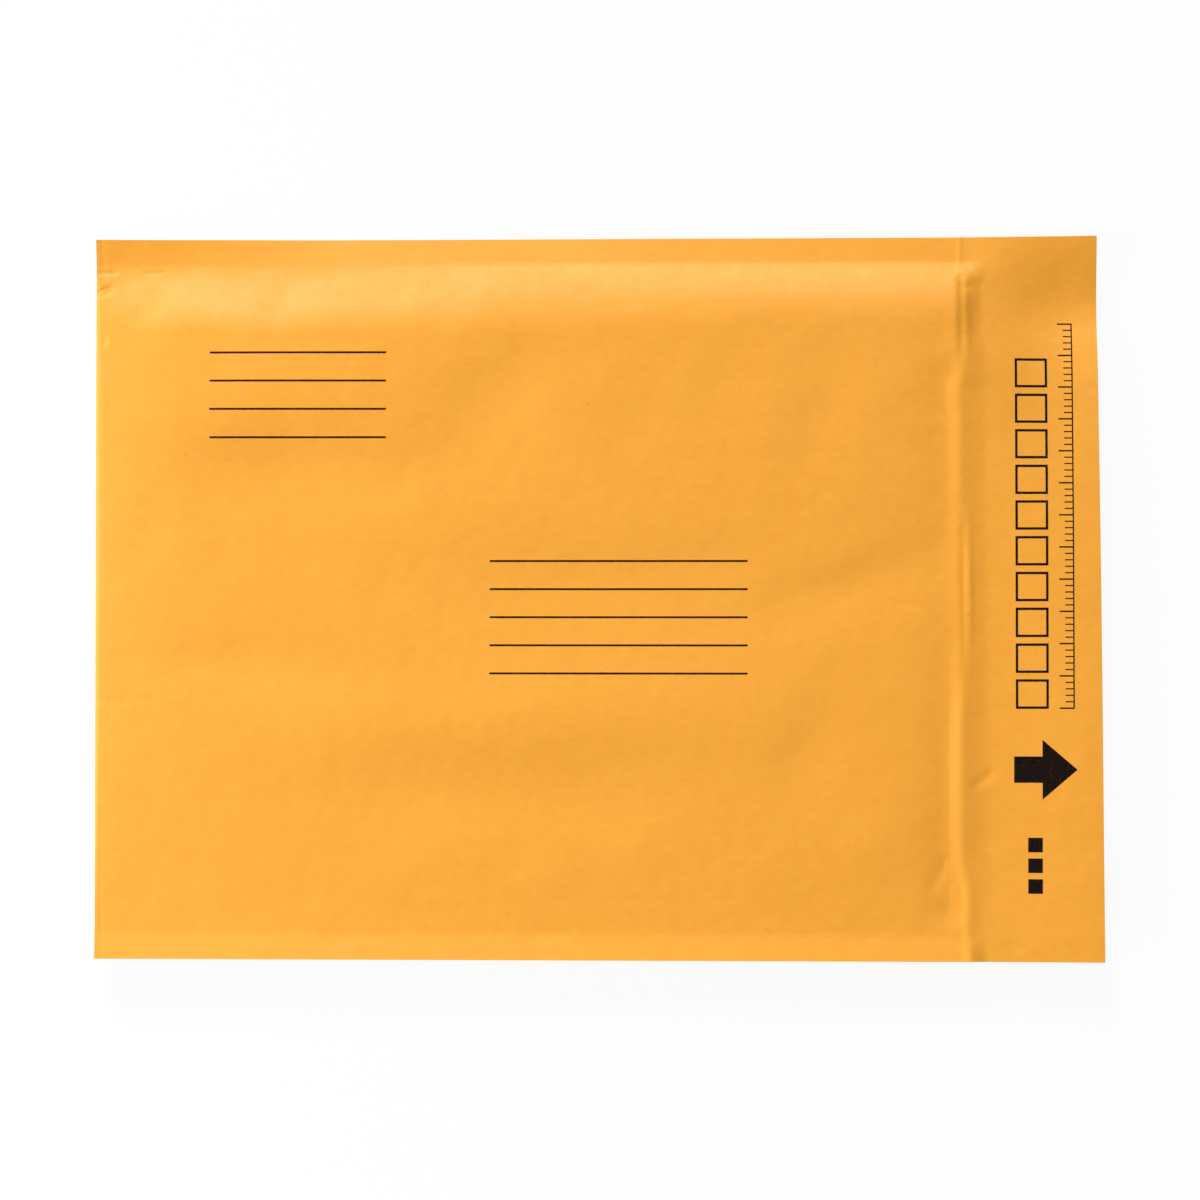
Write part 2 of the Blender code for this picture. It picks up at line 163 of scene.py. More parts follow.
# Soft troughs and swells of the front wall: the same numbers, then how much wider the side
# towards the near seam is, which for a steep lean is the side towards the flap. A negative
# depth is a swell
HOLLOWS = (
    (48.0, 66.0, 42.0, 20.0, 5, -1.2, 1.0),
    (66.0, 42.0, 45.0, 11.0, 0, 1.0, 1.5),
    (128.0, 64.0, 30.0, 12.0, 47, 1.0, 1.5),
    (177.0, 62.0, 16.0, 7.0, 60, 0.3, 1.5),
    (201.0, 66.0, 22.0, 8.0, 58, 0.35, 1.5),
    (234.0, 58.0, 22.0, 7.0, 70, 0.3, 1.5),
    (17.0, 21.0, 12.0, 6.0, 60, 0.35, 1.5),
    (165.0, 4.0, 60.0, 16.0, 0, 1.2, 1.2),
    (243.0, 4.0, 32.0, 8.0, 20, 0.7, 1.4),
    (50.0, -21.5, 45.0, 9.0, -3, 0.8, 1.0),
    (135.0, -40.0, 75.0, 12.0, 3, -0.8, 1.0),
    (130.0, -64.0, 75.0, 14.0, 0, 0.9, 1.0),
    (230.0, -48.0, 25.0, 9.0, 64, 0.50, 1.3),
    (103.0, -89.0, 16.0, 9.0, 40, -0.40, 1.2),
    (145.0, -91.0, 14.0, 8.0, 35, -0.35, 1.2),
    (175.0, -81.0, 14.0, 8.0, 40, -0.35, 1.2),
    (216.0, -91.0, 14.0, 9.0, 50, -0.35, 1.2),
    (250.0, -80.0, 22.0, 10.0, 62, -0.45, 1.2),
    (252.0, 64.0, 18.0, 10.0, 70, -0.30, 1.2),
)

# Short sharp wrinkles: from u, v to u, v, width and depth
WRINKLES = (
    (0.0, 105.2, 6.8, 105.6, 0.6, 0.36),
    (0.0, 97.5, 5.0, 100.6, 0.9, 0.85),
    (15.5, 105.3, 22.5, 105.6, 0.6, 0.22),
    (0.5, 84.0, 3.6, 82.2, 1.3, 0.8),
    (3.5, -33.4, 19.0, -33.8, 0.9, 0.2),
    (0.0, -32.8, 3.0, -33.4, 1.1, 0.3),
    (283.5, -60.6, 289.5, -56.0, 0.8, 0.3),
    (268.0, -93.0, 275.0, -84.0, 1.6, 0.25),
    (279.0, 103.5, 284.0, 99.0, 1.2, 0.3),
    (274.0, 105.6, 283.0, 106.2, 0.7, 0.16),
    (279.2, 117.0, 279.2, 107.5, 0.6, -0.22),
    (1.9, 117.0, 1.9, -117.0, 0.5, 0.08),
)


def clamp(share):
    return np.clip(share, 0.0, 1.0)


def mix(start, end, share):
    return start + (end - start) * share


def smooth_step(share):
    share = clamp(share)
    return share * share * (3.0 - 2.0 * share)


def bump(offset, width):
    return np.exp(-((offset / width) ** 2))


def side_rise(inset, reach, power=SHOULDER_POWER):
    return 1.0 - (1.0 - clamp(inset / reach)) ** power


def end_rise(inset, rise):
    nose = np.sqrt(1.0 - (1.0 - clamp(inset / FOLD_NOSE)) ** 2)
    climb = 1.0 - (1.0 - clamp(inset / rise)) ** 2
    return NOSE_SHARE * nose + (1.0 - NOSE_SHARE) * climb


def front_side_rise(u, v):
    inset = HALF_POCKET - np.abs(v)
    gentle = side_rise(inset, NEAR_FRONT_REACH, NEAR_FRONT_POWER)
    reach = np.interp(u, FAR_PLACES, FAR_REACH)
    rounded = smooth_step(inset / reach)
    steep = mix(side_rise(inset, reach), rounded, np.interp(u, FAR_PLACES, FAR_ROUNDNESS))
    return np.where(v < 0.0, gentle, steep)


def front_share(u, v):
    return end_rise(u, FRONT_FOLD_RISE) * front_side_rise(u, v)


def back_share(u, v):
    return end_rise(u, BACK_FOLD_RISE) * side_rise(HALF_POCKET - np.abs(v), BACK_REACH)


def seam_level(u, v):
    """Middle of the bonded edge; the far strip twists a little along its length."""
    across = clamp((v + HALF_POCKET) / POCKET_WIDTH)
    level = mix(NEAR_SEAM_LEVEL, FAR_SEAM_LEVEL - np.interp(u, FAR_PLACES, FAR_SAG), across)
    outward = clamp((np.abs(v) - HALF_POCKET) / SEAM_WIDTH)
    fall = FAR_STRIP_FALL * np.interp(u, FAR_PLACES, FAR_TILT)
    rise = NEAR_STRIP_RISE * smooth_step((POCKET_LENGTH + 6.0 - u) / 6.0)
    return level + outward * np.where(v < 0.0, rise, -fall)


def dent(u, v, centre_u, centre_v, length, width, lean, depth, tail=1.0):
    """An oval hollow; its side towards the near seam or the flap may be wider and gentler."""
    angle = math.radians(lean)
    along = (u - centre_u) * math.cos(angle) + (v - centre_v) * math.sin(angle)
    across = (v - centre_v) * math.cos(angle) - (u - centre_u) * math.sin(angle)
    return -depth * bump(along, length) * bump(across, np.where(across > 0.0, width, width * tail))


def wrinkle(u, v, start_u, start_v, end_u, end_v, width, depth):
    """A narrow trough along a line, gentler on its far side, tapered at both ends."""
    run_u, run_v = end_u - start_u, end_v - start_v
    length = math.hypot(run_u, run_v)
    along = ((u - start_u) * run_u + (v - start_v) * run_v) / length
    across = ((v - start_v) * run_u - (u - start_u) * run_v) / length
    taper = smooth_step((along + width) / (2 * width)) * smooth_step((length + width - along) / (2 * width))
    return -depth * taper * bump(across, np.where(across > 0.0, 1.4 * width, width))


def waviness(u, v):
    """Slow unevenness of a large sheet of paper over air bubbles."""
    slow = np.sin(u / 17.0 + v / 29.0 + 0.6) * np.sin(v / 15.0 - u / 41.0 + 1.9)
    quick = np.sin(u / 7.3 - v / 9.1 + 2.2) * np.sin(v / 6.1 + u / 12.7 + 0.4)
    return 0.07 * slow + 0.02 * quick


def over_pocket(u, v):
    """1 over the pocket, fading out at its seams, its fold and just past the crease."""
    return front_share(u, v) * smooth_step((POCKET_LENGTH + 3.0 - u) / 12.0)


def soft_relief(u, v):
    """Broad troughs and swells, shared by the paper and the film under it."""
    relief = 0.0 * u
    for values in HOLLOWS:
        relief = relief + dent(u, v, *values)
    return relief * over_pocket(u, v)


def paper_relief(u, v):
    """What the paper alone does: slight waves, puckers and sharp wrinkles."""
    relief = waviness(u, v)
    for values in PUCKERS:
        relief = relief + dent(u, v, *values)
    relief = relief * over_pocket(u, v)
    for values in WRINKLES:
        relief = relief + wrinkle(u, v, *values)
    return relief


def crease_place(u, v):
    """The distance from the fold, shifted so that the crease wanders from its line."""
    shift = np.interp(v, CREASE_PLACES, CREASE_WANDER)
    return u - shift * bump(u - POCKET_LENGTH, 12.0)


def crease_relief(u, v):
    """The crease's soft ridge with the dip before it."""
    sharpness = np.interp(v, SHARPNESS_PLACES, SHARPNESS)
    past = u - POCKET_LENGTH
    ridge = RIDGE_RISE * bump(past, np.where(past > 0.0, RIDGE_WIDTH * RIDGE_TAIL, RIDGE_WIDTH))
    from_dip = past + VALLEY_SETBACK
    dip = VALLEY_DEPTH * bump(from_dip, np.where(from_dip < 0.0, VALLEY_APPROACH, VALLEY_WIDTH))
    return sharpness * (ridge - dip * smooth_step((HALF_POCKET - np.abs(v)) / 8.0))


def groove_relief(u, v):
    """In places the crease is a narrow straight groove with a small ridge behind it."""
    past = u - POCKET_LENGTH
    groove = GROOVE_DEPTH * (bump(past - 2.2, 1.1) - bump(past - 0.1, 1.0))
    return groove * np.interp(v, GROOVE_PLACES, GROOVE_SHARE)


def front_level(u, v):
    """Height of the whole top face: pocket, crease and flap."""
    groove = groove_relief(u, v)
    u = crease_place(u, v)
    seam_top = seam_level(u, v) + SEAM_THICKNESS / 2
    pocket = mix(seam_top, TOP, front_share(u, v))
    side = front_side_rise(u, v)
    arch = np.where(v < 0.0, side, smooth_step((HALF_SHEET - v) / FLAP_ARCH_REACH))
    past = np.maximum(u - POCKET_LENGTH, 0.0)
    from_corner = HALF_SHEET - CORNER_DIP_INSET - v
    near_width = CORNER_DIP_WIDTH * (1.2 + 2.0 * past / FLAP_LENGTH)
    corner_dip = CORNER_DIP * bump(from_corner, np.where(from_corner > 0.0, near_width, CORNER_DIP_WIDTH))
    curl = EDGE_CURL * smooth_step(1.0 - (HALF_SHEET - v) / EDGE_CURL_REACH)
    settled = mix(seam_top, FLAP_MIDDLE_LEVEL, arch)
    flap = mix(mix(seam_top, TOP, side), settled, smooth_step(past / FLAP_DROP_LENGTH))
    flap = flap + curl * past / FLAP_LENGTH - corner_dip * smooth_step(past / CORNER_DIP_LENGTH)
    flap = flap + (FLAP_RISE * smooth_step((past - FLAP_DROP_LENGTH / 2) / FLAP_LENGTH)
                   * smooth_step((FLAP_RISE_END - v) / FLAP_RISE_REACH))
    level = np.where(u > POCKET_LENGTH, flap, pocket)
    return level + groove + crease_relief(u, v) + soft_relief(u, v) + paper_relief(u, v)


def place(u, v, level):
    return np.stack(((u - OFF_SQUARE * v - SHEET_LENGTH / 2) * MM, v * MM, level * MM), axis=-1)


def paper_top(u, v):
    return place(u, v, front_level(u, v))


def flap_under(depth=PAPER):
    def surface(u, v):
        return place(u, v, front_level(u, v) - depth)
    return surface


def paper_back(u, v):
    bottom = seam_level(u, v) - SEAM_THICKNESS / 2
    return place(u, v, mix(bottom, 0.0, back_share(u, v)))


def inner_margin(u, v):
    """The hidden inner face stays well inside the dents and meets the paper at its edges."""
    inset = np.minimum(HALF_POCKET - np.abs(v), POCKET_LENGTH - u)
    return INNER_MARGIN * smooth_step(inset / 12.0) * smooth_step(u / 8.0)


def inside_along(u):
    return mix(PAPER, POCKET_LENGTH, u / POCKET_LENGTH)


def pocket_ceiling(u, v):
    """Inner face of the front wall, one paper thickness down at the mouth."""
    level = mix(seam_level(u, v), INNER_TOP, front_share(u, v)) + soft_relief(u, v) - inner_margin(u, v)
    at_mouth = smooth_step((u - POCKET_LENGTH + 14.0) / 14.0)
    level = mix(level, front_level(u, v) - PAPER, at_mouth * front_side_rise(u, v))
    return place(inside_along(u), v, level)


def pocket_floor(u, v):
    level = mix(seam_level(u, v), PAPER, back_share(u, v)) - 0.1 * (1.0 - back_share(u, v))
    return place(inside_along(u), v, level)


class ClosedMesh:
    """Points and faces of one closed body, put together from skins and the bands between."""

    def __init__(self):
        self.points = []
        self.faces = []
        self.count = 0

    def skin(self, rows, columns, surface):
        """A grid of points with its faces; the result is the grid of point numbers."""
        u, v = np.meshgrid(np.asarray(rows, float), np.asarray(columns, float), indexing="ij")
        self.points.append(surface(u, v).reshape(-1, 3))
        numbers = self.count + np.arange(u.size).reshape(u.shape)
        self.count += u.size
        corners = (numbers[:-1, :-1], numbers[1:, :-1], numbers[1:, 1:], numbers[:-1, 1:])
        self.faces += np.stack([c.ravel() for c in corners], axis=1).tolist()
        return numbers

    def band(self, first, first_places, second, second_places):
        """Triangles between two edges whose points needn't match."""
        i = j = 0
        while i < len(first) - 1 or j < len(second) - 1:
            second_done = j == len(second) - 1
            if second_done or (i < len(first) - 1 and first_places[i + 1] <= second_places[j + 1]):
                self.faces.append([int(first[i]), int(first[i + 1]), int(second[j])])
                i += 1
            else:
                self.faces.append([int(second[j + 1]), int(second[j]), int(first[i])])
                j += 1

    def weld(self, keep, drop):
        """Faces that use the dropped points use the kept ones instead."""
        swap = {int(d): int(k) for k, d in zip(np.ravel(keep), np.ravel(drop))}
        self.faces = [[swap.get(n, n) for n in face] for face in self.faces]

    def finish(self, name, material, sharp_angle=40.0):
        mesh = bpy.data.meshes.new(name)
        mesh.from_pydata(np.concatenate(self.points).tolist(), [], self.faces)
        return finish_piece(name, mesh, material, sharp_angle)


def finish_piece(name, mesh, material, sharp_angle=40.0):
    """Drops loose points, turns faces outward, smooths the piece and puts it in the scene."""
    work = bmesh.new()
    work.from_mesh(mesh)
    bmesh.ops.delete(work, geom=[point for point in work.verts if not point.link_faces], context="VERTS")
    bmesh.ops.recalc_face_normals(work, faces=work.faces)
    work.to_mesh(mesh)
    work.free()
    mesh.shade_smooth()
    mesh.set_sharp_from_angle(angle=math.radians(sharp_angle))
    mesh.materials.clear()
    mesh.materials.append(material)
    piece = bpy.data.objects.new(name, mesh)
    bpy.context.scene.collection.objects.link(piece)
    return piece


def spaced(start, end, step):
    """Even places from start to end, the end left out."""
    count = max(1, round((end - start) / step))
    return [start + (end - start) * k / count for k in range(count)]


def fine_rows():
    rows = [0.0, 0.06, 0.16, 0.32, 0.54, 0.84, 1.2, 1.6]
    rows += spaced(FOLD_NOSE, 34.0, 0.7) + spaced(34.0, 262.0, 1.12)
    rows += spaced(262.0, POCKET_LENGTH, 0.5) + spaced(POCKET_LENGTH, 299.4, 0.5)
    return rows + spaced(299.4, SHEET_LENGTH, 1.1) + [SHEET_LENGTH]


def fine_columns():
    columns = spaced(-HALF_SHEET, -HALF_POCKET, 1.5) + spaced(-HALF_POCKET, -96.0, 1.1)
    columns += spaced(-96.0, 70.0, 1.4) + spaced(70.0, 94.0, 0.8) + spaced(94.0, HALF_POCKET, 0.45)
    return columns + spaced(HALF_POCKET, HALF_SHEET, 1.05) + [HALF_SHEET]


def thinned(places, step, keep=()):
    """Every step-th place with both ends and the ones to keep."""
    wanted = set(places[::step]) | {places[0], places[-1]} | set(keep)
    return sorted(wanted)


# Colours and nodes

def linear(hex_colour):
    """An sRGB colour written as six hex digits, as linear light with an alpha of 1."""
    channels = [int(hex_colour[k:k + 2], 16) / 255 for k in (0, 2, 4)]
    return [c / 12.92 if c <= 0.04045 else ((c + 0.055) / 1.055) ** 2.4 for c in channels] + [1.0]


def add(tree, kind, settings=None, inputs=None):
    """Adds a node with its settings; an input takes a plain value or another node's socket."""
    made = tree.nodes.new(kind)
    for name, value in (settings or {}).items():
        setattr(made, name, value)
    for name, value in (inputs or {}).items():
        if isinstance(value, bpy.types.NodeSocket):
            tree.links.new(value, made.inputs[name])
        else:
            made.inputs[name].default_value = value
    return made


def new_material(name):
    material = bpy.data.materials.new(name)
    material.use_nodes = True
    return material, material.node_tree, material.node_tree.nodes["Principled BSDF"]


def colour_ramp(tree, share, stops):
    """A ramp between linear colours; stops are (position, hex colour)."""
    ramp = add(tree, "ShaderNodeValToRGB", inputs={"Fac": share})
    ramp.color_ramp.elements[0].position = stops[0][0]
    ramp.color_ramp.elements[0].color = linear(stops[0][1])
    ramp.color_ramp.elements[1].position = stops[-1][0]
    ramp.color_ramp.elements[1].color = linear(stops[-1][1])
    for position, colour in stops[1:-1]:
        ramp.color_ramp.elements.new(position).color = linear(colour)
    return ramp.outputs["Color"]


def kraft_paper_machine_glazed():
    """Golden kraft, machine glazed on its outer face.

    The eye gets an even warm gold with cloudy formation about 3 mm across, faint fibres
    along the web, a few darker flecks, and a soft sheen where the paper turns to the light.
    """
    material, tree, shader = new_material("kraft_paper_machine_glazed")
    where = add(tree, "ShaderNodeTexCoord").outputs["Object"]
    cloud = add(tree, "ShaderNodeTexNoise",
                inputs={"Vector": where, "Scale": 330.0, "Detail": 3.0, "Roughness": 0.55})
    broad = add(tree, "ShaderNodeTexNoise", inputs={"Vector": where, "Scale": 45.0, "Detail": 2.0})
    stretched = add(tree, "ShaderNodeMapping", inputs={"Vector": where, "Scale": (0.16, 1.0, 1.0)})
    # Real fibres are 0.03 mm wide; they are drawn about 0.5 mm wide so that they show
    fibre = add(tree, "ShaderNodeTexNoise",
                inputs={"Vector": stretched.outputs["Vector"], "Scale": 2000.0, "Detail": 2.0,
                        "Roughness": 0.6})
    formation = add(tree, "ShaderNodeMix", {"data_type": "FLOAT"},
                    {"Factor": 0.45, "A": cloud.outputs["Fac"], "B": fibre.outputs["Fac"]})
    formation = add(tree, "ShaderNodeMix", {"data_type": "FLOAT"},
                    {"Factor": 0.25, "A": formation.outputs["Result"], "B": broad.outputs["Fac"]})
    gold = colour_ramp(tree, formation.outputs["Result"], [(0.34, "F7A530"), (0.5, "FAAA35"), (0.66, "FCAE3A")])
    fleck_place = add(tree, "ShaderNodeTexNoise", inputs={"Vector": where, "Scale": 620.0, "Detail": 0.0})
    fleck = add(tree, "ShaderNodeMapRange",
                inputs={"Value": fleck_place.outputs["Fac"], "From Min": 0.85, "From Max": 0.89,
                        "To Max": 0.2})
    colour = add(tree, "ShaderNodeMix", {"data_type": "RGBA"},
                 {"Factor": fleck.outputs["Result"], "A": gold, "B": linear("B9782A")})
    tree.links.new(colour.outputs["Result"], shader.inputs["Base Color"])
    glaze = add(tree, "ShaderNodeMapRange",
                inputs={"Value": formation.outputs["Result"], "From Min": 0.3, "From Max": 0.7,
                        "To Min": 0.57, "To Max": 0.51})
    tree.links.new(glaze.outputs["Result"], shader.inputs["Roughness"])
    shader.inputs["IOR"].default_value = 1.5
    # A mat of fibres shines less than a closed surface
    shader.inputs["Specular IOR Level"].default_value = 0.37
    grain = add(tree, "ShaderNodeBump",
                inputs={"Strength": 0.35, "Distance": 0.00006, "Height": fibre.outputs["Fac"]})
    soft = add(tree, "ShaderNodeBump",
               inputs={"Strength": 0.5, "Distance": 0.00012, "Height": cloud.outputs["Fac"],
                       "Normal": grain.outputs["Normal"]})
    slow = add(tree, "ShaderNodeTexNoise", inputs={"Vector": where, "Scale": 95.0, "Detail": 1.0})
    cockle = add(tree, "ShaderNodeBump",
                 inputs={"Strength": 0.6, "Distance": 0.0004, "Height": slow.outputs["Fac"],
                         "Normal": soft.outputs["Normal"]})
    tree.links.new(cockle.outputs["Normal"], shader.inputs["Normal"])
    return material


def flexographic_ink():
    """Near-black water-based ink sunk into kraft: matt, a little brown, thin where fibres show."""
    material, tree, shader = new_material("flexographic_ink")
    where = add(tree, "ShaderNodeTexCoord").outputs["Object"]
    cover = add(tree, "ShaderNodeTexNoise", inputs={"Vector": where, "Scale": 1500.0, "Detail": 3.0})
    colour = colour_ramp(tree, cover.outputs["Fac"], [(0.3, "0A0402"), (0.55, "120804"), (0.75, "3A200A")])
    tree.links.new(colour, shader.inputs["Base Color"])
    shader.inputs["Roughness"].default_value = 0.8
    # Ink sunk into the sheet has hardly any gloss
    shader.inputs["Specular IOR Level"].default_value = 0.08
    shader.inputs["IOR"].default_value = 1.5
    return material


def fine_line_ink():
    """The same ink in half-millimetre lines, where the kraft's gold shows through its edges."""
    material, tree, shader = new_material("fine_line_ink")
    where = add(tree, "ShaderNodeTexCoord").outputs["Object"]
    cover = add(tree, "ShaderNodeTexNoise", inputs={"Vector": where, "Scale": 1200.0, "Detail": 2.0})
    colour = colour_ramp(tree, cover.outputs["Fac"], [(0.3, "220800"), (0.55, "331000"), (0.75, "5A2E06")])
    tree.links.new(colour, shader.inputs["Base Color"])
    shader.inputs["Roughness"].default_value = 0.8
    shader.inputs["Specular IOR Level"].default_value = 0.08
    shader.inputs["IOR"].default_value = 1.5
    return material


def polyethylene_film():
    """Blown polyethylene bubble film: milky clear, glossy, with faint draw lines."""
    material, tree, shader = new_material("polyethylene_film")
    where = add(tree, "ShaderNodeTexCoord").outputs["Object"]
    stretched = add(tree, "ShaderNodeMapping", inputs={"Vector": where, "Scale": (0.1, 1.0, 1.0)})
    draw = add(tree, "ShaderNodeTexNoise",
               inputs={"Vector": stretched.outputs["Vector"], "Scale": 500.0, "Detail": 2.0})
    milky = colour_ramp(tree, draw.outputs["Fac"], [(0.3, "DCE3E6"), (0.7, "F2F5F6")])
    tree.links.new(milky, shader.inputs["Base Color"])
    shader.inputs["Roughness"].default_value = 0.16
    shader.inputs["IOR"].default_value = 1.51
    shader.inputs["Alpha"].default_value = 0.72
    stretch = add(tree, "ShaderNodeBump",
                  inputs={"Strength": 0.4, "Distance": 0.0001, "Height": draw.outputs["Fac"]})
    tree.links.new(stretch.outputs["Normal"], shader.inputs["Normal"])
    return material


def hot_melt_adhesive():
    """Pressure-sensitive hot melt laid in one band: pale amber, wet gloss, fine coater ribs."""
    material, tree, shader = new_material("hot_melt_adhesive")
    where = add(tree, "ShaderNodeTexCoord").outputs["Object"]
    ribs = add(tree, "ShaderNodeTexNoise", inputs={"Vector": where, "Scale": 700.0, "Detail": 2.0})
    amber = colour_ramp(tree, ribs.outputs["Fac"], [(0.35, "DFD3A8"), (0.65, "ECE4C6")])
    tree.links.new(amber, shader.inputs["Base Color"])
    shader.inputs["Roughness"].default_value = 0.22
    shader.inputs["IOR"].default_value = 1.48
    wet = add(tree, "ShaderNodeBump",
              inputs={"Strength": 0.5, "Distance": 0.0001, "Height": ribs.outputs["Fac"]})
    tree.links.new(wet.outputs["Normal"], shader.inputs["Normal"])
    return material


def siliconised_release_paper():
    """White glassine with a silicone coat: smooth, slick and faintly cloudy."""
    material, tree, shader = new_material("siliconised_release_paper")
    where = add(tree, "ShaderNodeTexCoord").outputs["Object"]
    cloud = add(tree, "ShaderNodeTexNoise", inputs={"Vector": where, "Scale": 420.0, "Detail": 3.0})
    white = colour_ramp(tree, cloud.outputs["Fac"], [(0.35, "ECEBE5"), (0.65, "F7F6F2")])
    tree.links.new(white, shader.inputs["Base Color"])
    shader.inputs["Roughness"].default_value = 0.34
    shader.inputs["IOR"].default_value = 1.46
    fine = add(tree, "ShaderNodeBump",
               inputs={"Strength": 0.3, "Distance": 0.00005, "Height": cloud.outputs["Fac"]})
    tree.links.new(fine.outputs["Normal"], shader.inputs["Normal"])
    return material


# Pieces

def make_kraft_wrapper(material):
    """One folded sheet: a fine outer front and flap over plainer hidden faces."""
    body = ClosedMesh()
    rows, columns = fine_rows(), fine_columns()
    pocket_rows = [u for u in rows if u <= POCKET_LENGTH]
    flap_rows = [u for u in rows if u >= POCKET_LENGTH]
    coarse_rows = thinned(pocket_rows[:8], 2) + thinned(pocket_rows[8:], 5)
    coarse_columns = thinned(columns, 3, (-HALF_POCKET, HALF_POCKET))
    inner_columns = [v for v in coarse_columns if abs(v) <= HALF_POCKET]
    under_rows = thinned(flap_rows, 3)
    first_inner = coarse_columns.index(-HALF_POCKET)
    last_inner = coarse_columns.index(HALF_POCKET)

    top = body.skin(rows, columns, paper_top)
    back = body.skin(coarse_rows, coarse_columns, paper_back)
    under = body.skin(under_rows, coarse_columns, flap_under())
    ceiling = body.skin(coarse_rows, inner_columns, pocket_ceiling)
    floor = body.skin(coarse_rows, inner_columns, pocket_floor)
    body.weld(under[0, first_inner:last_inner + 1], ceiling[-1])

    fold = len(pocket_rows)
    body.band(top[0], columns, back[0], coarse_columns)
    body.band(top[-1], columns, under[-1], coarse_columns)
    for side in (0, -1):
        body.band(top[:fold, side], pocket_rows, back[:, side], coarse_rows)
        body.band(top[fold - 1:, side], flap_rows, under[:, side], under_rows)
        body.faces.append([int(top[fold - 1, side]), int(under[0, side]), int(back[-1, side])])
    body.band(ceiling[0], inner_columns, floor[0], inner_columns)
    for side in (0, -1):
        edge = ceiling[:-1, side].tolist() + [under[0, first_inner if side == 0 else last_inner]]
        body.band(edge, coarse_rows, floor[:, side], coarse_rows)
    lip = back[-1]
    body.band(lip[first_inner:last_inner + 1], inner_columns, floor[-1], inner_columns)
    near, far = slice(0, first_inner + 1), slice(last_inner, None)
    for part in (near, far):
        body.band(under[0, part], coarse_columns[part], lip[part], coarse_columns[part])
    for at, floor_end in ((first_inner, floor[-1, 0]), (last_inner, floor[-1, -1])):
        body.faces.append([int(under[0, at]), int(lip[at]), int(floor_end)])
    return body.finish("kraft_paper_wrapper", material)


def film_front(depth):
    def surface(u, v):
        side = np.where(v > 0.0, CLEARANCE, -CLEARANCE)
        share = front_share(u - PAPER - CLEARANCE, v + side)
        level = mix(seam_level(u, v), INNER_TOP - FILM_INSET, share) + soft_relief(u, v)
        return place(u, v, level - CLEARANCE - depth)
    return surface


def film_back(depth):
    def surface(u, v):
        side = np.where(v > 0.0, CLEARANCE, -CLEARANCE)
        share = back_share(u - PAPER - CLEARANCE, v + side)
        return place(u, v, mix(seam_level(u, v), PAPER, share) + CLEARANCE + depth)
    return surface


def make_film_web(material):
    """The flat backing film of the lining, folded once and open at the mouth."""
    body = ClosedMesh()
    rows = [LINING_START + t for t in (0.0, 0.15, 0.4, 0.8, 1.4)] + spaced(4.2, LINING_MOUTH, 3.0) + [LINING_MOUTH]
    columns = spaced(-HALF_LINING, HALF_LINING, 3.0) + [HALF_LINING]
    outer_top = body.skin(rows, columns, film_front(0.0))
    outer_back = body.skin(rows, columns, film_back(0.0))
    inner_rows, inner_columns = rows[3:], columns[1:-1]
    inner_top = body.skin(inner_rows, inner_columns, film_front(FILM))
    inner_back = body.skin(inner_rows, inner_columns, film_back(FILM))
    body.band(outer_top[0], columns, outer_back[0], columns)
    body.band(inner_top[0], inner_columns, inner_back[0], inner_columns)
    for side in (0, -1):
        body.band(outer_top[:, side], rows, outer_back[:, side], rows)
        body.band(inner_top[:, side], inner_rows, inner_back[:, side], inner_rows)
    body.band(outer_top[-1, 1:-1], inner_columns, inner_top[-1], inner_columns)
    body.band(outer_back[-1, 1:-1], inner_columns, inner_back[-1], inner_columns)
    for side, first in ((0, 1), (-1, -2)):
        corner = (outer_top[-1, side], outer_top[-1, first], inner_top[-1, side])
        body.faces.append([int(n) for n in corner + (inner_back[-1, side], outer_back[-1, first], outer_back[-1, side])])
    return body.finish("bubble_film_web", material)


def tree_with_inputs(name, sockets):
    """A geometry node tree whose group input has the named sockets and whose output is geometry."""
    tree = bpy.data.node_groups.new(name, "GeometryNodeTree")
    tree.interface.new_socket(name="Geometry", in_out="OUTPUT", socket_type="NodeSocketGeometry")
    for label, kind in sockets:
        tree.interface.new_socket(name=label, in_out="INPUT", socket_type=kind)
    return tree, add(tree, "NodeGroupInput"), add(tree, "NodeGroupOutput")


def grow(name, tree, mesh, values, material):
    """Runs a node tree on a mesh with its named inputs set, and keeps the plain result."""
    carrier = bpy.data.objects.new(name + "_carrier", mesh)
    bpy.context.scene.collection.objects.link(carrier)
    modifier = carrier.modifiers.new("grow", "NODES")
    modifier.node_group = tree
    for socket in tree.interface.items_tree:
        if socket.in_out == "INPUT" and socket.name in values:
            modifier[socket.identifier] = values[socket.name]
    graph = bpy.context.evaluated_depsgraph_get()
    result = bpy.data.meshes.new_from_object(carrier.evaluated_get(graph), depsgraph=graph)
    result.name = name
    carrier.modifiers.clear()
    bpy.data.objects.remove(carrier, do_unlink=True)
    return finish_piece(name, result, material)


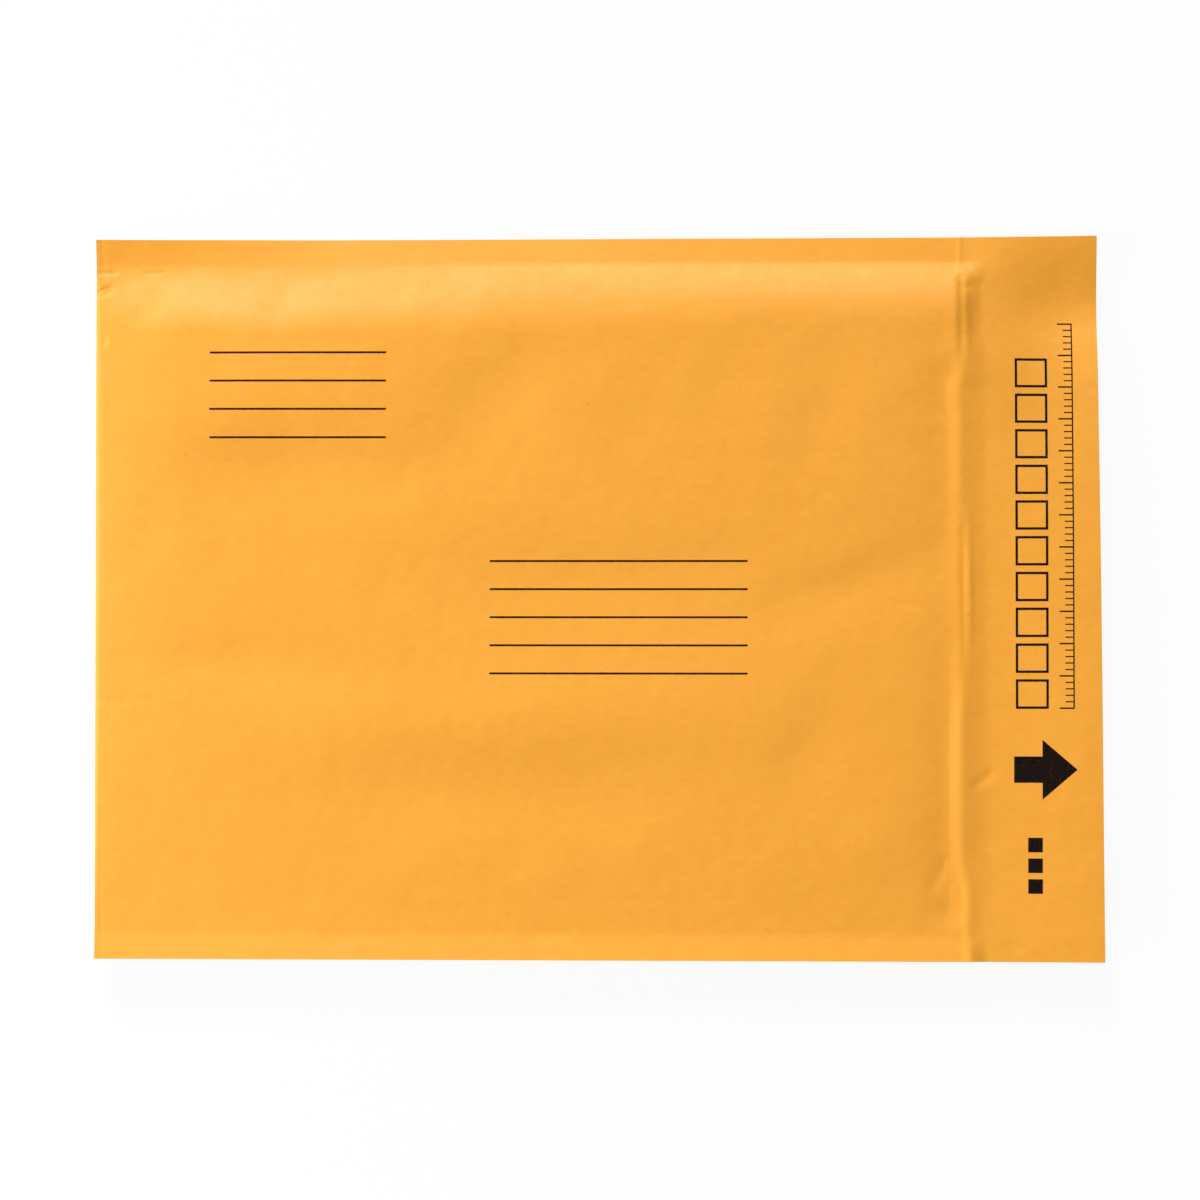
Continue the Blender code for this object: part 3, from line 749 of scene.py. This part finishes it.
def bubble_tree(material):
    """Air bubbles: a low dome on each point, turned to the point's facing direction."""
    tree, given, out = tree_with_inputs("air_bubbles", [
        ("Geometry", "NodeSocketGeometry"), ("Diameter", "NodeSocketFloat"),
        ("Height", "NodeSocketFloat"), ("Slackness", "NodeSocketFloat"), ("Seed", "NodeSocketInt")])
    cone = add(tree, "GeometryNodeMeshCone", {"fill_type": "NGON"},
               {"Vertices": 12, "Side Segments": 3, "Fill Segments": 1, "Radius Top": 1.0,
                "Radius Bottom": 1.0, "Depth": 1.0})
    position = add(tree, "GeometryNodeInputPosition")
    parts = add(tree, "ShaderNodeSeparateXYZ", inputs={0: position.outputs[0]})
    steep = add(tree, "ShaderNodeMath", {"operation": "POWER"}, {0: parts.outputs["Z"], 1: 2.6})
    left = add(tree, "ShaderNodeMath", {"operation": "MULTIPLY_ADD"}, {0: steep.outputs[0], 1: -0.86, 2: 1.0})
    radius = add(tree, "ShaderNodeMath", {"operation": "SQRT"}, {0: left.outputs[0]})
    flat = add(tree, "ShaderNodeCombineXYZ",
               inputs={"X": radius.outputs[0], "Y": radius.outputs[0], "Z": 1.0})
    shaped = add(tree, "ShaderNodeVectorMath",
                 {"operation": "MULTIPLY"}, {0: position.outputs[0], 1: flat.outputs[0]})
    dome = add(tree, "GeometryNodeSetPosition",
               inputs={"Geometry": cone.outputs["Mesh"], "Position": shaped.outputs[0]})
    radius_size = add(tree, "ShaderNodeMath",
                      {"operation": "MULTIPLY"}, {0: given.outputs["Diameter"], 1: 0.5})
    fullness = add(tree, "FunctionNodeRandomValue",
                   {"data_type": "FLOAT"}, {"Max": 1.0, "Seed": given.outputs["Seed"]})
    short = add(tree, "ShaderNodeMath",
                {"operation": "MULTIPLY"}, {0: fullness.outputs["Value"], 1: given.outputs["Slackness"]})
    share = add(tree, "ShaderNodeMath", {"operation": "SUBTRACT"}, {0: 1.0, 1: short.outputs[0]})
    height = add(tree, "ShaderNodeMath",
                 {"operation": "MULTIPLY"}, {0: given.outputs["Height"], 1: share.outputs[0]})
    size = add(tree, "ShaderNodeCombineXYZ",
               inputs={"X": radius_size.outputs[0], "Y": radius_size.outputs[0], "Z": height.outputs[0]})
    facing = add(tree, "GeometryNodeInputNamedAttribute", {"data_type": "FLOAT_VECTOR"}, {"Name": "facing"})
    turn = add(tree, "FunctionNodeAlignRotationToVector",
               {"axis": "Z"}, {"Vector": facing.outputs["Attribute"]})
    stamped = add(tree, "GeometryNodeInstanceOnPoints",
                  inputs={"Points": given.outputs["Geometry"], "Instance": dome.outputs["Geometry"],
                          "Rotation": turn.outputs["Rotation"], "Scale": size.outputs[0]})
    real = add(tree, "GeometryNodeRealizeInstances", inputs={"Geometry": stamped.outputs["Instances"]})
    painted = add(tree, "GeometryNodeSetMaterial",
                  inputs={"Geometry": real.outputs["Geometry"], "Material": material})
    tree.links.new(painted.outputs["Geometry"], out.inputs["Geometry"])
    return tree


def make_air_bubbles(material):
    """Rows of bubbles in a close honeycomb on both inner faces of the film."""
    row_step = BUBBLE_PITCH * math.sqrt(3) / 2
    places, facings = [], []
    tiny = 0.5
    for surface, sign in ((film_front(FILM), -1.0), (film_back(FILM), 1.0)):
        for row in range(int((LINING_MOUTH - BUBBLE_FOLD_MARGIN) / row_step)):
            u = LINING_MOUTH - BUBBLE_DIAMETER / 2 - 0.8 - row * row_step
            for column in range(-12, 13):
                v = (column + 0.5 * (row % 2)) * BUBBLE_PITCH
                if u < BUBBLE_EDGE_MARGIN or abs(v) > HALF_LINING - BUBBLE_EDGE_MARGIN:
                    continue
                here, along, across = (surface(np.float64(u + a), np.float64(v + b))
                                       for a, b in ((0, 0), (tiny, 0), (0, tiny)))
                normal = np.cross(along - here, across - here)
                normal = sign * normal / np.linalg.norm(normal)
                places.append((here - 0.00003 * normal).tolist())
                facings.append(normal)
    points = bpy.data.meshes.new("bubble_places")
    points.from_pydata(places, [], [])
    facing = points.attributes.new("facing", "FLOAT_VECTOR", "POINT")
    facing.data.foreach_set("vector", np.asarray(facings).ravel())
    values = {"Diameter": BUBBLE_DIAMETER * MM, "Height": BUBBLE_HEIGHT * MM, "Slackness": 0.25, "Seed": 4}
    return grow("air_bubbles", bubble_tree(material), points, values, material)


def make_band(name, start, width, depth, thickness, material):
    """A thin strip across the flap's underside, a set depth below its outer face."""
    body = ClosedMesh()
    rows = spaced(start, start + width, 1.6) + [start + width]
    columns = spaced(-HALF_STRIP, HALF_STRIP, 2.2) + [HALF_STRIP]
    upper = body.skin(rows, columns, flap_under(depth))
    lower = body.skin(rows, columns, flap_under(depth + thickness))
    for side in (0, -1):
        body.band(upper[side], columns, lower[side], columns)
        body.band(upper[:, side], rows, lower[:, side], rows)
    return body.finish(name, material)


def marks_tree(material):
    """Printed marks: copies of one flat mark at even steps, laid on the paper under them."""
    tree, given, out = tree_with_inputs("marks_on_paper", [
        ("Geometry", "NodeSocketGeometry"), ("Paper", "NodeSocketObject"), ("Count", "NodeSocketInt"),
        ("Start", "NodeSocketVector"), ("Step", "NodeSocketVector"), ("Lift", "NodeSocketFloat")])
    line = add(tree, "GeometryNodeMeshLine", {"mode": "OFFSET"},
               {"Count": given.outputs["Count"], "Start Location": given.outputs["Start"],
                "Offset": given.outputs["Step"]})
    stamped = add(tree, "GeometryNodeInstanceOnPoints",
                  inputs={"Points": line.outputs["Mesh"], "Instance": given.outputs["Geometry"]})
    real = add(tree, "GeometryNodeRealizeInstances", inputs={"Geometry": stamped.outputs["Instances"]})
    paper = add(tree, "GeometryNodeObjectInfo",
                {"transform_space": "ORIGINAL"}, {"Object": given.outputs["Paper"]})
    position = add(tree, "GeometryNodeInputPosition")
    above = add(tree, "ShaderNodeVectorMath",
                {"operation": "ADD"}, {0: position.outputs[0], 1: (0.0, 0.0, 0.05)})
    hit = add(tree, "GeometryNodeRaycast",
              inputs={"Target Geometry": paper.outputs["Geometry"], "Source Position": above.outputs[0],
                      "Ray Direction": (0.0, 0.0, -1.0), "Ray Length": 0.1})
    thickness = add(tree, "ShaderNodeSeparateXYZ", inputs={0: position.outputs[0]})
    lifted = add(tree, "ShaderNodeMath",
                 {"operation": "ADD"}, {0: thickness.outputs["Z"], 1: given.outputs["Lift"]})
    offset = add(tree, "ShaderNodeCombineXYZ", inputs={"Z": lifted.outputs[0]})
    landed = add(tree, "ShaderNodeVectorMath",
                 {"operation": "ADD"}, {0: hit.outputs["Hit Position"], 1: offset.outputs[0]})
    laid = add(tree, "GeometryNodeSetPosition",
               inputs={"Geometry": real.outputs["Geometry"], "Position": landed.outputs[0]})
    painted = add(tree, "GeometryNodeSetMaterial",
                  inputs={"Geometry": laid.outputs["Geometry"], "Material": material})
    tree.links.new(painted.outputs["Geometry"], out.inputs["Geometry"])
    return tree


INK = 0.02
INK_LIFT = 0.03


def flat_mark(name, xs, ys, keep=None, shape=None):
    """A thin closed slab over the kept cells of a grid; shape moves its points sideways."""
    work = bmesh.new()
    points = {}

    def point(i, j, level):
        if (i, j, level) not in points:
            x, y = shape(xs[i], ys[j]) if shape else (xs[i], ys[j])
            points[i, j, level] = work.verts.new((x * MM, y * MM, level * INK * MM))
        return points[i, j, level]

    cells = {(i, j) for i in range(len(xs) - 1) for j in range(len(ys) - 1) if keep is None or keep(i, j)}
    for i, j in sorted(cells):
        ring = ((i, j), (i + 1, j), (i + 1, j + 1), (i, j + 1))
        work.faces.new([point(a, b, 1) for a, b in ring])
        work.faces.new([point(a, b, 0) for a, b in reversed(ring)])
        for (a, b), beyond in zip(zip(ring, ring[1:] + ring[:1]), ((i, j - 1), (i + 1, j), (i, j + 1), (i - 1, j))):
            if beyond not in cells:
                work.faces.new([point(*a, 0), point(*b, 0), point(*b, 1), point(*a, 1)])
    mesh = bpy.data.meshes.new(name)
    work.to_mesh(mesh)
    work.free()
    return mesh


def bar(name, length, width, along_v=False):
    """A straight bar with points about every millimetre and a half, so that it can bend."""
    long_places = spaced(0.0, length, 1.5) + [length]
    short_places = spaced(-width / 2, width / 2, 1.5) + [width / 2]
    return flat_mark(name, short_places, long_places) if along_v else flat_mark(name, long_places, short_places)


def print_marks(name, tree, mark, paper, count, start, step, material):
    values = {"Paper": paper, "Count": count, "Lift": INK_LIFT * MM,
              "Start": ((start[0] - SHEET_LENGTH / 2) * MM, start[1] * MM, 0.0),
              "Step": (step[0] * MM, step[1] * MM, 0.0)}
    return grow(name, tree, mark, values, material)


def box_mark(width, height, stroke):
    """An empty outlined box, as for one figure of a postal code."""
    xs = [0.0, stroke] + spaced(stroke, width - stroke, 1.5)[1:] + [width - stroke, width]
    ys = [0.0, stroke] + spaced(stroke, height - stroke, 1.5)[1:] + [height - stroke, height]

    def on_border(i, j):
        return i in (0, len(xs) - 2) or j in (0, len(ys) - 2)
    return flat_mark("code_box", xs, ys, on_border)


def arrow_mark(length, width, head):
    """A solid arrow that points across the flap towards its edge."""
    shaft = length - head
    xs = spaced(0.0, shaft, 1.2) + [shaft - 0.005] + spaced(shaft, length, 1.2) + [length]
    ys = [-1.0, -0.75, -0.5, -0.25, 0.0, 0.25, 0.5, 0.75, 1.0]

    def shape(x, y):
        half = width * 0.22 if x < shaft else max(0.06, width / 2 * (length - x) / head)
        return x, y * half
    return flat_mark("seal_arrow", xs, ys, shape=shape)


def print_on_envelope(paper, fine_ink, ink):
    """Ruled address lines, and a plain generic print on the flap."""
    fine = marks_tree(fine_ink)
    bold = marks_tree(ink)
    ruled = [
        ("return_address_lines", bar("short_rule", 57.0, 0.62), 4, (37.2, 78.95), (0.0, -9.13), fine, fine_ink),
        ("delivery_address_lines", bar("long_rule", 82.8, 0.62), 5, (127.8, 11.65), (0.0, -9.03), fine, fine_ink),
        ("postal_code_boxes", box_mark(10.4, 9.4, 0.75), 10, (296.2, -35.6), (0.0, 11.45), bold, ink),
        ("scale_base_line", bar("base_rule", 124.0, 0.4, True), 1, (314.6, -35.6), (0.0, 0.0), bold, ink),
        ("scale_long_ticks", bar("long_tick", 4.4, 0.45), 13, (310.1, -35.4), (0.0, 10.3), bold, ink),
        ("scale_short_ticks", bar("short_tick", 2.6, 0.35), 61, (311.9, -35.4), (0.0, 2.06), bold, ink),
        ("seal_arrow", arrow_mark(20.0, 19.0, 11.0), 1, (295.6, -55.0), (0.0, 0.0), bold, ink),
        ("corner_squares", bar("square", 4.6, 4.6), 3, (300.0, -79.0), (0.0, -6.6), bold, ink),
    ]
    return [print_marks(name, tree, mark, paper, count, start, step, material)
            for name, mark, count, start, step, tree, material in ruled]


# Studio

def seen_directly(tree):
    """1 where the camera, a reflection or clear film looks at the backdrop, 0 for its light."""
    path = add(tree, "ShaderNodeLightPath")
    seen = add(tree, "ShaderNodeMath", {"operation": "MAXIMUM"},
               {0: path.outputs["Is Camera Ray"], 1: path.outputs["Is Glossy Ray"]})
    seen = add(tree, "ShaderNodeMath", {"operation": "MAXIMUM"},
               {0: seen.outputs[0], 1: path.outputs["Is Transmission Ray"]})
    return seen.outputs[0]


def make_floor():
    """A plain pale surface that stays near white to the camera and keeps the soft shadow."""
    mesh = bpy.data.meshes.new("studio_floor")
    half = 3.0
    mesh.from_pydata([(-half, -half, -0.0003), (half, -half, -0.0003), (half, half, -0.0003), (-half, half, -0.0003)],
                     [], [(0, 1, 2, 3)])
    floor = bpy.data.objects.new("studio_floor", mesh)
    bpy.context.scene.collection.objects.link(floor)
    material, tree, shader = new_material("pale_studio_floor")
    shader.inputs["Base Color"].default_value = linear("F4F4F4")
    shader.inputs["Roughness"].default_value = 0.9
    shader.inputs["Specular IOR Level"].default_value = 0.1
    part = add(tree, "ShaderNodeMath", {"operation": "MULTIPLY"}, {0: seen_directly(tree), 1: 0.94})
    white = add(tree, "ShaderNodeEmission", inputs={"Color": (1.0, 1.0, 1.0, 1.0), "Strength": 1.0})
    both = add(tree, "ShaderNodeMixShader",
               inputs={0: part.outputs[0], 1: shader.outputs[0], 2: white.outputs[0]})
    tree.links.new(both.outputs[0], tree.nodes["Material Output"].inputs["Surface"])
    mesh.materials.append(material)


def make_softbox(name, azimuth, elevation, distance, size, power):
    """A square soft lamp aimed at the envelope; azimuth is measured from +X towards +Y."""
    lamp = bpy.data.lights.new(name, "AREA")
    lamp.shape = "SQUARE"
    lamp.size = size
    lamp.energy = power
    around, up = math.radians(azimuth), math.radians(elevation)
    direction = Vector((math.cos(around) * math.cos(up), math.sin(around) * math.cos(up), math.sin(up)))
    holder = bpy.data.objects.new(name, lamp)
    holder.location = direction * distance
    holder.rotation_euler = direction.to_track_quat("Z", "Y").to_euler()
    bpy.context.scene.collection.objects.link(holder)


def make_studio():
    make_floor()
    make_softbox("key_softbox", 103.0, 34.0, 12.0, 3.6, 1450.0)
    make_softbox("side_softbox", 193.0, 27.0, 1.05, 0.66, 8.3)
    world = bpy.data.worlds.new("studio_world")
    bpy.context.scene.world = world
    world.use_nodes = True
    tree = world.node_tree
    strength = add(tree, "ShaderNodeMapRange",
                   inputs={"Value": seen_directly(tree), "To Min": 0.10, "To Max": 1.0})
    backdrop = tree.nodes["Background"]
    backdrop.inputs["Color"].default_value = (1.0, 1.0, 1.0, 1.0)
    tree.links.new(strength.outputs["Result"], backdrop.inputs["Strength"])


def make_camera():
    """Straight above, at a distance and tilt that put the four corners where the photo has them."""
    lens = bpy.data.cameras.new("camera")
    lens.lens = 111.24
    lens.sensor_width = 36.0
    lens.clip_end = 20.0
    camera = bpy.data.objects.new("camera", lens)
    camera.location = (0.04689, -0.04249, 1.2)
    camera.rotation_euler = (0.03502, 0.03805, 0.00156)
    bpy.context.scene.collection.objects.link(camera)
    bpy.context.scene.camera = camera


def dress_envelope():
    paper = kraft_paper_machine_glazed()
    ink = flexographic_ink()
    fine_ink = fine_line_ink()
    film = polyethylene_film()
    adhesive = hot_melt_adhesive()
    release = siliconised_release_paper()

    wrapper = make_kraft_wrapper(paper)
    marks = print_on_envelope(wrapper, fine_ink, ink)
    web = make_film_web(film)
    bubbles = make_air_bubbles(film)
    strip = make_band("adhesive_band", ADHESIVE_START, ADHESIVE_WIDTH, PAPER + 0.1, ADHESIVE_THICKNESS, adhesive)
    liner = make_band("release_liner_strip", LINER_START, LINER_WIDTH,
                      PAPER + 0.1 + ADHESIVE_THICKNESS + 0.05, LINER_THICKNESS, release)
    for piece in [wrapper, web, bubbles, strip, liner] + marks:
        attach(piece, "root")
    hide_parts("kraft_wrapper")
    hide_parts("bubble_lining")
    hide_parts("adhesive_strip")
    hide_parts("release_liner")


dress_envelope()
make_studio()
make_camera()
bpy.context.scene.view_settings.view_transform = "Standard"
